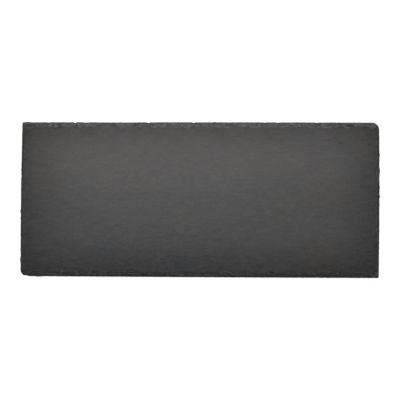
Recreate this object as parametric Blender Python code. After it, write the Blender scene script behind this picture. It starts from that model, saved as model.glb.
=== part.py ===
"""Slate slab: a thin board of split slate whose four edges were dressed by hand.

Metres, +Z up. The origin lies under the middle of the board, on the surface that it rests on.
+X runs along the board and +Y points to its back edge.

The edge is a loft: at each station round the board a section runs from the top face down a chipped
bevel, over a steep broken side to the lower arris, and in under the board. The chips are shallow
bowls that overlap, so that sharp ridges stand between them. The two faces fill the loft.
"""

import math
import random

import bmesh
import bpy
import numpy as np
from mathutils import noise
from mathutils.geometry import delaunay_2d_cdt

MM = 0.001

# The board
LENGTH = 300 * MM
WIDTH = 130 * MM
THICKNESS = 5 * MM

# Its corners, anticlockwise from above: the sign of x and y, the drift from the true corner, the radius
CORNERS = (
    ((-1, -1), (-0.6 * MM, 1.0 * MM), 5.4 * MM),
    ((1, -1), (0.0 * MM, -0.7 * MM), 0.9 * MM),
    ((1, 1), (0.4 * MM, -0.1 * MM), 6.0 * MM),
    ((-1, 1), (1.0 * MM, 0.2 * MM), 1.3 * MM),
)

# Its edges, each from its own corner to the next: how far the middle bulges, and how it was dressed
EDGES = (
    ("front", 0.15 * MM, "long"),
    ("right", 0.45 * MM, "short"),
    ("back", 0.15 * MM, "long"),
    ("left", 0.50 * MM, "short"),
)

# Chips of the bevel: usual length along the edge, then least and greatest reach over the face and depth
LONG_CHIPS = (10 * MM, (3.9 * MM, 5.3 * MM), (1.1 * MM, 2.2 * MM))
SHORT_CHIPS = (7.5 * MM, (1.8 * MM, 2.9 * MM), (0.8 * MM, 1.6 * MM))
RIDGE_SHIFT = 0.25  # how far a ridge may lie from its even place, over the length of a chip
CHIP_OVERLAP = (1.3, 2.1)  # a chip's length over the stretch of edge that it has to itself
CHIP_CENTRE = 0.6  # how far outside the edge a bowl's middle lies, over its reach
CHIP_SHIFT = 0.15  # how far along the edge it lies from the middle of that stretch, over its length
CHAMFER_REACH = 2.2 * MM
CHAMFER_DEPTH = 0.8 * MM

# Distances along each edge to the ridges that stand out. The others lie between them at random.
RIDGES = {
    "front": (8, 34, 47, 68, 82, 92, 105, 118, 129, 138, 147, 161, 178, 208, 244, 257),
    "right": (16, 72, 83, 97),
    "back": (52, 63, 76, 85, 98, 110, 123, 138, 149, 156, 167, 184, 193, 204, 220, 240, 255, 266, 278),
    "left": (42, 78, 119),
}

# Nicks and lumps in the line of each edge: distance along it, length, and how far the line stands out
MARKS = {
    "front": ((5 * MM, 5 * MM, -0.75 * MM), (15 * MM, 10 * MM, 0.35 * MM), (29 * MM, 4 * MM, -0.2 * MM)),
    "right": (
        (68.5 * MM, 3 * MM, 0.45 * MM),
        (76 * MM, 3 * MM, 0.3 * MM),
        (90.5 * MM, 5.5 * MM, 0.4 * MM),
        (103.5 * MM, 2.5 * MM, 0.4 * MM),
    ),
    "back": (
        (52.5 * MM, 2.6 * MM, -0.35 * MM),
        (85 * MM, 2.2 * MM, -0.4 * MM),
        (96 * MM, 2.0 * MM, -0.4 * MM),
        (138 * MM, 3.6 * MM, 0.3 * MM),
        (155.5 * MM, 3.4 * MM, -0.6 * MM),
        (193.5 * MM, 3.4 * MM, -0.55 * MM),
        (216 * MM, 80 * MM, -0.2 * MM),
        (246 * MM, 8 * MM, -0.25 * MM),
        (255 * MM, 3.6 * MM, -0.6 * MM),
        (277.5 * MM, 2.2 * MM, -0.45 * MM),
        (295 * MM, 8 * MM, 0.3 * MM),
    ),
    "left": (
        (40 * MM, 2.4 * MM, 0.3 * MM),
        (45 * MM, 2 * MM, -0.3 * MM),
        (74.5 * MM, 4 * MM, 0.45 * MM),
        (80.5 * MM, 2.4 * MM, 0.35 * MM),
        (115 * MM, 5.5 * MM, 0.45 * MM),
    ),
}

# The section below the bevel. Its ledges are the ends of layers of the stone.
SIDE_RUN = 1.3 * MM  # how far the steep side runs outwards as it falls
LEDGES = ((0.66, 0.45), (0.30, 0.40))  # each one's height and greatest width, as shares of the side's
LEDGE_LEAST = 0.03  # the least width, as such a share
LEDGE_DROP = 0.06  # how far a ledge slopes, as such a share
LEDGE_WAVER = 0.14  # how far its height wanders, as such a share
LEDGE_LENGTH = 11 * MM  # the length of edge over which it widens and narrows
RUN_RANGE = (0.8, 1.2)
ARRIS_HEIGHT = 0.8 * MM
ARRIS_RANGE = (0.6, 1.4)
UNDER_REACH = 0.5 * MM
UNDER_CHIP_REACH = 1.6 * MM
UNDER_CHIP_POWER = 4  # the higher, the fewer stations have a large chip under them
BAND = 7.5 * MM  # the width of the loft, wider than any chip's reach
CORNER_SPREAD = 26 * MM  # how far from a corner the sections lean towards it

# Wear of the outline, and the swell of the top face
WEAR = 0.08 * MM
WEAR_LENGTH = 9 * MM
SWELL = 0.10 * MM
SWELL_LENGTH = 60 * MM
RIPPLE = 0.03 * MM
RIPPLE_LENGTH = 17 * MM

# Flakes that came off the underside: middle, half length, half width, turn in degrees, depth
SCARS = (
    (-96 * MM, 18 * MM, 33 * MM, 15 * MM, 12, 0.40 * MM),
    (-61 * MM, -33 * MM, 29 * MM, 11 * MM, -6, 0.30 * MM),
    (4 * MM, 6 * MM, 41 * MM, 19 * MM, 4, 0.35 * MM),
    (52 * MM, -38 * MM, 24 * MM, 10 * MM, 9, 0.45 * MM),
    (71 * MM, 37 * MM, 34 * MM, 12 * MM, -8, 0.30 * MM),
    (113 * MM, -9 * MM, 21 * MM, 24 * MM, 15, 0.40 * MM),
)
SCAR_STEP = 0.8 * MM  # the width of the broken step round a scar
SCAR_POINTS = 26
SCAR_LOBES = ((2, 0.10), (3, 0.12), (5, 0.07), (8, 0.04))  # waves of its outline: number, height

# How closely the surface is drawn
STATION_STEP = 2.6 * MM
LONG_MARK = 12 * MM  # a nick or lump at least this long needs no stations of its own
MARK_MARGIN = 0.4 * MM  # no other station lies nearer than this to one that has them
BEVEL_SHARES = (0.0, 0.28, 0.64, 1.0)  # rings over the bevel, as shares of the way to the steep side
REACH_STEP = 0.05 * MM
FACE_STEP = 13 * MM
UNDER_STEP = 16 * MM
CLOSEST = 1e-9  # points nearer than this are one point
SEED = 7


def smooth(share):
    """0 to 1 with level ends."""
    share = np.clip(share, 0, 1)
    return share * share * (3 - 2 * share)


def ripple_noise(x, y, length, layer):
    """Smooth noise between about -1 and 1 over the board, whose waves are about as long as length."""
    return np.array([noise.noise((a / length, b / length, layer)) for a, b in zip(x, y)])


class Side:
    """One edge of the board. u runs along it from its first corner, and depth goes in from it."""

    def __init__(self, number):
        sign, drift, self.first_radius = CORNERS[number]
        next_sign, next_drift, self.last_radius = CORNERS[(number + 1) % len(CORNERS)]
        half = np.array((LENGTH, WIDTH)) / 2
        self.start = half * sign + drift
        run = half * next_sign + next_drift - self.start
        self.length = float(np.hypot(*run))
        self.along = run / self.length
        self.inward = np.array((-self.along[1], self.along[0]))
        self.number = number
        name, self.bow, self.dressing = EDGES[number]
        self.ridges = [place * MM for place in RIDGES[name]]
        self.marks = MARKS[name]
        self.first = corner_middle(self.first_radius)
        self.last = self.length - corner_middle(self.last_radius)

    def inset(self, u):
        """How far inside the straight line between the corners the outline runs."""
        share = u / self.length
        rounding = corner_arc(u, self.first_radius) + corner_arc(self.length - u, self.last_radius)
        wave = ripple_noise(u, np.full_like(u, self.number), WEAR_LENGTH, SEED)
        marks = sum(out * smooth(1 - 2 * np.abs(u - place) / length) for place, length, out in self.marks)
        return rounding - 4 * self.bow * share * (1 - share) + WEAR * wave - marks

    def outline(self, u):
        """Points of the outline at u."""
        return self.start + np.outer(u, self.along) + np.outer(self.inset(u), self.inward)

    def inner(self, u):
        """The inner ends of the sections that start at u, which lean towards a corner near it."""
        from_first = lean(u - self.first, self.first)
        from_last = self.length - lean(self.last - u, self.length - self.last)
        u = np.where(u < self.length / 2, from_first, from_last)
        return self.start + np.outer(u, self.along) + BAND * self.inward


def corner_middle(radius):
    """How far along an edge the middle of its rounded corner lies."""
    return radius * (1 - math.cos(math.pi / 4))


def corner_arc(u, radius):
    """How far a rounded corner takes the outline in, at u from the corner."""
    from_end = np.clip(radius - u, 0, radius)
    return radius - np.sqrt(radius**2 - from_end**2)


def lean(u, middle):
    """Where along the edge a section ends that starts u past the middle of a corner."""
    return u + middle + (BAND - middle) * (1 - smooth(u / CORNER_SPREAD))


def ridge_places(side, length, rng):
    """Where the ridges of one side stand, its two corners among them."""
    known = (side.first, *side.ridges, side.last)
    places = [side.first]
    for low, high in zip(known, known[1:]):
        count = max(1, round((high - low) / length))
        step = (high - low) / count
        shifts = [rng.uniform(-RIDGE_SHIFT, RIDGE_SHIFT) for _ in range(count - 1)]
        places.extend(low + step * (number + shift) for number, shift in enumerate(shifts, 1))
        places.append(high)
    return places


def make_chips(sides, rng):
    """The bowls cut into the bevel, each side's in a row, and the ridges between them."""
    chips = []
    ridges = []
    for side in sides:
        length, reaches, depths = LONG_CHIPS if side.dressing == "long" else SHORT_CHIPS
        places = ridge_places(side, length, rng)
        ridges.append(places)
        for low, high in zip(places, places[1:]):
            reach = rng.uniform(*reaches)
            depth = rng.uniform(*depths)
            half = rng.uniform(*CHIP_OVERLAP) * (high - low) / 2
            middle = (low + high) / 2 + rng.uniform(-CHIP_SHIFT, CHIP_SHIFT) * (high - low)
            centre = side.outline(np.array([middle]))[0] - side.inward * CHIP_CENTRE * reach
            chips.append((centre, side.along, side.inward, half, (1 + CHIP_CENTRE) * reach, depth))
    return chips, ridges


def chip_depth(points, chips):
    """How deep the deepest chip is at each point."""
    deepest = np.zeros(len(points))
    for centre, along, inward, half, radius, depth in chips:
        offset = points - centre
        bowl = 1 - (offset @ along / half) ** 2 - (offset @ inward / radius) ** 2
        deepest = np.maximum(deepest, depth * bowl)
    return deepest


def face_height(points):
    """The height of the top face, which swells a little and is nowhere above the thickness."""
    x, y = points[:, 0], points[:, 1]
    swell = ripple_noise(x, y, SWELL_LENGTH, SEED)
    ripple = ripple_noise(x, y, RIPPLE_LENGTH, SEED + 1)
    return THICKNESS - SWELL * (1 + swell) - RIPPLE * (1 + ripple)


class Loft:
    """The stations round the board, and the surface over each."""

    def __init__(self, sides, chips, ridges, rng):
        outer = []
        inner = []
        for side, places in zip(sides, ridges):
            u = self.stations(side, places)
            outer.append(side.outline(u))
            inner.append(side.inner(u))
        self.outer = np.vstack(outer)
        self.inward = (np.vstack(inner) - self.outer) / BAND
        self.chips = chips
        self.rng = rng

    @staticmethod
    def stations(side, places):
        """Stations of one side: every ridge, some between them, and each short mark's ends and middle."""
        found = []
        for low, high in zip(places, places[1:]):
            count = max(2, round((high - low) / STATION_STEP))
            found.extend(np.linspace(low, high, count, endpoint=False))
        short = [mark for mark in side.marks if mark[1] < LONG_MARK]
        for place, length, _ in short:
            found = [u for u in found if abs(u - place) > length / 2 + MARK_MARGIN]
            found.extend((place - length / 2, place, place + length / 2))
        return np.array(sorted(found))

    def place(self, depth):
        """The point of each section that lies this deep inside the outline."""
        return self.outer + self.inward * np.reshape(depth, (-1, 1))

    def bevel(self, depth):
        """The height of the bevel or the face at that point."""
        points = self.place(depth)
        chamfer = CHAMFER_DEPTH * (1 - depth / CHAMFER_REACH)
        return face_height(points) - np.maximum(chip_depth(points, self.chips), chamfer).clip(0)

    def reach(self):
        """How deep inside the outline the bevel of each section meets the face."""
        reach = np.full(len(self.outer), CHAMFER_REACH)
        for depth in np.arange(CHAMFER_REACH, BAND, REACH_STEP):
            reach[chip_depth(self.place(depth), self.chips) > 0] = depth
        return reach

    def rings(self):
        """The rings of the loft, from the face down and under, each as points in space."""
        run = SIDE_RUN * self.varied(*RUN_RANGE)
        arris = ARRIS_HEIGHT * self.varied(*ARRIS_RANGE)
        under = UNDER_REACH + UNDER_CHIP_REACH * self.varied(0, 1) ** UNDER_CHIP_POWER
        reach = self.reach()
        depths = [np.full(len(reach), BAND)] + [reach + share * (run - reach) for share in BEVEL_SHARES]
        rings = [self.ring(depth, self.bevel(depth)) for depth in depths]
        fall = rings[-1][:, 2] - arris
        for run_left, fall_left in self.ledges():
            rings.append(self.ring(run_left * run, arris + fall_left * fall))
        rings.append(self.ring(0 * run, arris))
        rings.append(self.ring(under, 0 * run))
        return rings

    def ledges(self):
        """The inner and outer lip of each ledge, as the shares of the side's run and fall left there."""
        waves = [ripple_noise(*self.outer.T, LEDGE_LENGTH, SEED + layer) for layer in range(2 * len(LEDGES))]
        widths = [
            LEDGE_LEAST + greatest * smooth(0.5 + wave)
            for (_, greatest), wave in zip(LEDGES, waves)
        ]
        steep_run = 1 - sum(widths)
        run_left, last = 1, 1
        for (height, _), width, wave in zip(LEDGES, widths, waves[len(LEDGES):]):
            height = height + LEDGE_WAVER * wave
            run_left = run_left - steep_run * (last - height)
            yield run_left, height
            run_left = run_left - width
            yield run_left, height - LEDGE_DROP
            last = height

    def varied(self, least, greatest):
        """A random number in this range for each station."""
        return np.array([self.rng.uniform(least, greatest) for _ in self.outer])

    def ring(self, depth, height):
        return np.column_stack((self.place(depth), height))


def inside(points, loop):
    """Whether each point lies inside a closed loop."""
    x, y = points[:, 0], points[:, 1]
    found = np.zeros(len(points), bool)
    for a, b in zip(loop, np.roll(loop, -1, axis=0)):
        crosses = (a[1] > y) != (b[1] > y)
        rise = np.where(b[1] == a[1], 1, b[1] - a[1])
        found ^= crosses & (x < a[0] + (y - a[1]) * (b[0] - a[0]) / rise)
    return found


def grid_inside(loop, step, margin, keep_out=()):
    """Points of a staggered grid inside a loop, clear of its edge and of the other loops."""
    low, high = loop.min(axis=0), loop.max(axis=0)
    rows = np.arange(low[1] + step / 2, high[1], step)
    points = []
    for number, y in enumerate(rows):
        start = low[0] + step * (0.25 if number % 2 else 0.75)
        points.extend((x, y) for x in np.arange(start, high[0], step))
    points = np.array(points)
    points = points[inside(points, loop)]
    for other in (loop, *keep_out):
        apart = np.linalg.norm(points[:, None] - other[None], axis=2).min(axis=1)
        points = points[apart > margin]
    for other in keep_out:
        points = points[~inside(points, other)]
    return points


def scar_loops(scar, rng):
    """The lip and the floor of one scar, each as a closed loop."""
    x, y, half_length, half_width, turn, _ = scar
    angle = np.linspace(0, 2 * math.pi, SCAR_POINTS, endpoint=False)
    wave = 1 + sum(h * np.sin(n * angle + rng.uniform(0, 2 * math.pi)) for n, h in SCAR_LOBES)
    loops = []
    for inset in (0, SCAR_STEP):
        across = (half_length * wave - inset) * np.cos(angle)
        up = (half_width * wave - inset) * np.sin(angle)
        c, s = math.cos(math.radians(turn)), math.sin(math.radians(turn))
        loops.append(np.column_stack((x + c * across - s * up, y + s * across + c * up)))
    return loops


def fill(mesh, border, border_verts, extra, height, loops=(), upwards=True):
    """Fills a closed border with triangles over extra points. loops are joined up as edges."""
    start = len(border)
    edges = []
    for loop in loops:
        ids = list(range(start, start + len(loop)))
        edges.extend(zip(ids, ids[1:] + ids[:1]))
        start += len(loop)
    points = np.vstack([border, *loops, extra])
    flat = [tuple(map(float, p)) for p in points]
    result = delaunay_2d_cdt(flat, edges, [list(range(len(border)))], 1, CLOSEST)
    triangles, in_border = result[2], result[5]
    verts = list(border_verts)
    for point, z in zip(points[len(border):], height[len(border):]):
        verts.append(mesh.verts.new((*point, z)))
    for triangle, found in zip(triangles, in_border):
        if found:
            corners = [verts[i] for i in triangle]
            mesh.faces.new(corners if upwards else reversed(corners))


def loft_faces(mesh, rings):
    """Joins neighbouring rings with quads, and gives each ring's vertices."""
    rows = [[mesh.verts.new(point) for point in ring] for ring in rings]
    for upper, lower in zip(rows, rows[1:]):
        for i in range(len(upper)):
            j = (i + 1) % len(upper)
            mesh.faces.new((upper[i], lower[i], lower[j], upper[j]))
    return rows


def top_face(mesh, rings, rows):
    border = rings[0][:, :2]
    extra = grid_inside(border, FACE_STEP, FACE_STEP / 2)
    height = face_height(np.vstack((border, extra)))
    fill(mesh, border, rows[0], extra, height)


def underside(mesh, rings, rows):
    """The flat underside, with the scars of its flakes sunk into it."""
    rng = random.Random(SEED)
    border = rings[-1][:, :2]
    loops = []
    heights = [np.zeros(len(border))]
    for scar in SCARS:
        for loop, z in zip(scar_loops(scar, rng), (0, scar[-1])):
            loops.append(loop)
            heights.append(np.full(len(loop), z))
    extra = grid_inside(border, UNDER_STEP, UNDER_STEP / 2, loops[::2])
    heights.append(np.zeros(len(extra)))
    fill(mesh, border, rows[-1], extra, np.concatenate(heights), loops, upwards=False)


def slate_material():
    """Dark, faintly satin stone."""
    material = bpy.data.materials.new("slate")
    material.use_nodes = True
    shader = material.node_tree.nodes["Principled BSDF"]
    shader.inputs["Base Color"].default_value = (0.075, 0.074, 0.072, 1)
    shader.inputs["Roughness"].default_value = 0.55
    shader.inputs["Metallic"].default_value = 0
    return material


def make_slab():
    rng = random.Random(SEED)
    sides = [Side(number) for number in range(len(EDGES))]
    chips, ridges = make_chips(sides, rng)
    rings = Loft(sides, chips, ridges, rng).rings()
    mesh = bmesh.new()
    rows = loft_faces(mesh, rings)
    top_face(mesh, rings, rows)
    underside(mesh, rings, rows)
    bmesh.ops.triangulate(mesh, faces=mesh.faces[:])
    bmesh.ops.recalc_face_normals(mesh, faces=mesh.faces[:])
    data = bpy.data.meshes.new("slab")
    mesh.to_mesh(data)
    mesh.free()
    data.materials.append(slate_material())
    return bpy.data.objects.new("slab", data)


def main():
    for thing in list(bpy.data.objects):
        bpy.data.objects.remove(thing)
    board = bpy.data.collections.new("slate slab")
    bpy.context.scene.collection.children.link(board)
    board.objects.link(make_slab())


main()
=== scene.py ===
"""Slate slab: the dressed stone, its material, and a plain studio round it.

Metres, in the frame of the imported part: +X along the board, +Y to its back edge, +Z up. The stone
is drawn again here on the lines of the solid, with the broken layers of its edge and the relief of
its split faces, and it stands in for the solid in every view.
"""

import math
import random

import bpy
import numpy as np
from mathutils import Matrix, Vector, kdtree, noise
from mathutils.geometry import delaunay_2d_cdt


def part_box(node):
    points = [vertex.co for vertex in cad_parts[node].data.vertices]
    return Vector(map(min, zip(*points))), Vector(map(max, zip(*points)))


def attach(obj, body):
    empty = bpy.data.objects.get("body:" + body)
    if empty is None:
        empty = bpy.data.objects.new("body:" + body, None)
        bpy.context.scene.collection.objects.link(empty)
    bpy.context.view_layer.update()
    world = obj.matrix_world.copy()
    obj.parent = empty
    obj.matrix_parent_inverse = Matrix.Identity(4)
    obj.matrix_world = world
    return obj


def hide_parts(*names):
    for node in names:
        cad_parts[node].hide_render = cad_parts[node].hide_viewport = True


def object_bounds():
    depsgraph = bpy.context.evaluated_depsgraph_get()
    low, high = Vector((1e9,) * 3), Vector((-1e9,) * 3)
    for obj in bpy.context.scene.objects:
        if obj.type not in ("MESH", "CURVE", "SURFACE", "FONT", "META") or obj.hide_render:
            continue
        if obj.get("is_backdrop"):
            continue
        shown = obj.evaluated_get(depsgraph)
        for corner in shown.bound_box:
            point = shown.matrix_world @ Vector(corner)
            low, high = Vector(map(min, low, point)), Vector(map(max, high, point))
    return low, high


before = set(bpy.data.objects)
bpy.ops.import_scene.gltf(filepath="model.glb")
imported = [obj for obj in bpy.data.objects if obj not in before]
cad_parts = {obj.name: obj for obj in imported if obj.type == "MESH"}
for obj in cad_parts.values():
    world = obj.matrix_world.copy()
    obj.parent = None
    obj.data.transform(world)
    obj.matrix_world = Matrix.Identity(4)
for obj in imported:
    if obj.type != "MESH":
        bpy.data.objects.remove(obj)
CAD_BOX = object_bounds()

MM = 0.001

# The board, as in the solid
LENGTH = 300 * MM
WIDTH = 130 * MM
THICKNESS = 5 * MM

# Its corners, anticlockwise from above: the sign of x and y, how far the corner lies from its true
# place, and its radius
CORNERS = (
    ((-1, -1), (-0.6 * MM, 1.0 * MM), 5.4 * MM),
    ((1, -1), (0.0 * MM, -0.7 * MM), 0.9 * MM),
    ((1, 1), (0.4 * MM, -0.1 * MM), 6.0 * MM),
    ((-1, 1), (1.0 * MM, 0.2 * MM), 1.3 * MM),
)

# Its edges, each from its own corner to the next: how far the middle bulges, and whether its chips
# are those of a long edge or a short one
EDGES = (
    ("front", 0.15 * MM, "long"),
    ("right", 0.45 * MM, "short"),
    ("back", 0.15 * MM, "long"),
    ("left", 0.50 * MM, "short"),
)

# Chips of the bevel: usual length along the edge, then the least and greatest reach over the face,
# and the least and greatest depth
LONG_CHIPS = (10 * MM, (3.9 * MM, 5.3 * MM), (1.1 * MM, 2.2 * MM))
SHORT_CHIPS = (7.5 * MM, (1.8 * MM, 2.9 * MM), (0.8 * MM, 1.6 * MM))
RIDGE_SHIFT = 0.25  # how far a ridge may lie from its even place, over the length of a chip
CHIP_OVERLAP = (1.3, 2.1)  # a chip's length over the stretch of edge that it has to itself
CHIP_CENTRE = 0.6  # how far outside the edge a bowl's middle lies, over its reach
CHIP_SHIFT = 0.15  # how far along the edge it lies from the middle of that stretch, over its length
CHAMFER_REACH = 2.2 * MM  # of the plain bevel that shows where no chip is deeper
CHAMFER_DEPTH = 0.8 * MM  # of it, at the outline

# Distances in mm along each edge to the ridges that stand out. The others lie between at random.
RIDGES = {
    "front": (8, 34, 47, 68, 82, 92, 105, 118, 129, 138, 147, 161, 178, 208, 244, 257),
    "right": (16, 72, 83, 97),
    "back": (
        52, 63, 76, 85, 98, 110, 123, 138, 149, 156,
        167, 184, 193, 204, 220, 240, 255, 266, 278,
    ),
    "left": (42, 78, 119),
}

# Nicks and lumps in the line of each edge: distance along it, length, and how far it stands out
MARKS = {
    "front": (
        (5 * MM, 5 * MM, -0.75 * MM),
        (15 * MM, 10 * MM, 0.35 * MM),
        (29 * MM, 4 * MM, -0.2 * MM),
    ),
    "right": (
        (68.5 * MM, 3 * MM, 0.45 * MM),
        (76 * MM, 3 * MM, 0.3 * MM),
        (90.5 * MM, 5.5 * MM, 0.4 * MM),
        (103.5 * MM, 2.5 * MM, 0.4 * MM),
    ),
    "back": (
        (52.5 * MM, 2.6 * MM, -0.35 * MM),
        (85 * MM, 2.2 * MM, -0.4 * MM),
        (96 * MM, 2.0 * MM, -0.4 * MM),
        (138 * MM, 3.6 * MM, 0.3 * MM),
        (155.5 * MM, 3.4 * MM, -0.6 * MM),
        (193.5 * MM, 3.4 * MM, -0.55 * MM),
        (216 * MM, 80 * MM, -0.2 * MM),
        (246 * MM, 8 * MM, -0.25 * MM),
        (255 * MM, 3.6 * MM, -0.6 * MM),
        (277.5 * MM, 2.2 * MM, -0.45 * MM),
        (295 * MM, 8 * MM, 0.3 * MM),
    ),
    "left": (
        (40 * MM, 2.4 * MM, 0.3 * MM),
        (45 * MM, 2 * MM, -0.3 * MM),
        (74.5 * MM, 4 * MM, 0.45 * MM),
        (80.5 * MM, 2.4 * MM, 0.35 * MM),
        (115 * MM, 5.5 * MM, 0.45 * MM),
    ),
}

# The section below the bevel
SIDE_RUN = 1.3 * MM  # how far the steep side runs outwards as it falls
RUN_RANGE = (0.8, 1.2)  # the least and greatest share of that run
LEDGES = ((0.66, 0.45), (0.30, 0.40))  # height and greatest width, as shares of the side's
LEDGE_LEAST = 0.03  # the least width, as such a share
LEDGE_DROP = 0.06  # how far a ledge slopes, as such a share
LEDGE_WAVER = 0.14  # how far its height wanders, as such a share
LEDGE_LENGTH = 11 * MM  # the length of edge over which it widens and narrows
ARRIS_HEIGHT = 0.8 * MM
ARRIS_RANGE = (0.6, 1.4)  # the least and greatest share of that height
UNDER_REACH = 0.5 * MM  # how far the rounding under the arris goes in
UNDER_CHIP_REACH = 1.6 * MM  # how much further it goes at the deepest chip
SECTION_LENGTH = 5 * MM  # the length of edge over which run, arris and rounding vary
BAND = 7.5 * MM  # the width of the loft, wider than any chip's reach
CORNER_SPREAD = 26 * MM  # how far from a corner the sections lean towards it

# Wear of the outline, and the swell of the top face: each one's height, and the length of its waves
WEAR = 0.08 * MM
WEAR_LENGTH = 9 * MM
SWELL = 0.10 * MM
SWELL_LENGTH = 60 * MM
RIPPLE = 0.03 * MM
RIPPLE_LENGTH = 17 * MM

# Flakes that came off the underside: middle, half length, half width, turn in degrees, depth
SCARS = (
    (-96 * MM, 18 * MM, 33 * MM, 15 * MM, 12, 0.40 * MM),
    (-61 * MM, -33 * MM, 29 * MM, 11 * MM, -6, 0.30 * MM),
    (4 * MM, 6 * MM, 41 * MM, 19 * MM, 4, 0.35 * MM),
    (52 * MM, -38 * MM, 24 * MM, 10 * MM, 9, 0.45 * MM),
    (71 * MM, 37 * MM, 34 * MM, 12 * MM, -8, 0.30 * MM),
    (113 * MM, -9 * MM, 21 * MM, 24 * MM, 15, 0.40 * MM),
)
SCAR_LOBES = ((2, 0.10), (3, 0.12), (5, 0.07), (8, 0.04))  # waves of its outline: number, height
SCAR_RAGGED = ((17, 0.012), (29, 0.009), (47, 0.006))  # finer waves of it
SCAR_STEP = 0.8 * MM  # the width of the broken step round a scar
SCAR_RIM = ((0, 0), (0.35, 0.7), (1, 1), (1.6, 1))  # its section: shares of the width and the depth

# Fine shapes that only the mesh has. The stone is broken along its layers: each one ends in a steep
# riser, and leaves a level tread on the next. Nothing here goes past the outline or rises above the
# face. Where a length is given, it is that of a wave.
FINE_WEAR = (0.10 * MM, 1.7 * MM)  # of the outline: depth, length
WARP = (0.60 * MM, 2.6 * MM)  # of the outline of a chip: how far, length
TOP_LEVEL = 4.62 * MM  # the height of the highest tread
LOWEST_LEVEL = 1.22 * MM  # and of the lowest
LAYER_RANGE = (0.16 * MM, 0.50 * MM)  # the thickness of a layer
LEVEL_WAVER = (0.035 * MM, 2.4 * MM)  # of a tread: height, length
RISER_SLOPE = (0.4, 2.4)  # the run of a riser over its height where there is room
RISER_LENGTH = 3.5 * MM  # the length of edge over which it changes
RISER_SHARE = 0.85  # the most of the way to the next layer that it takes
TREAD_LEAST = 0.015 * MM
BITES = ((0.42, 3.1 * MM), (0.24, 1.1 * MM))  # of a layer's end: depth over its room, length
BITE_ROOM = (0.12 * MM, 1.1 * MM)  # the least and the most
BITE_KINSHIP = 1.1 * MM  # layers that lie nearer than this to each other end alike
ROUGH = ((0.16 * MM, 2.1 * MM), (0.07 * MM, 0.9 * MM))  # of the chips: depth, length
ROUGH_START = 0.35 * MM  # how far below the face that is at full depth
RIVEN = ((0.022 * MM, 11 * MM), (0.008 * MM, 3.5 * MM))  # relief of a split face: depth, length
RIVEN_STRETCH = 2.2  # how much longer its waves are along the board than across

FACETS = (2.6 * MM, 0.13)  # of the struck stone: size, greatest slope
FACET_SPREAD = 1000  # far enough to give two cells different slopes

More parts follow.
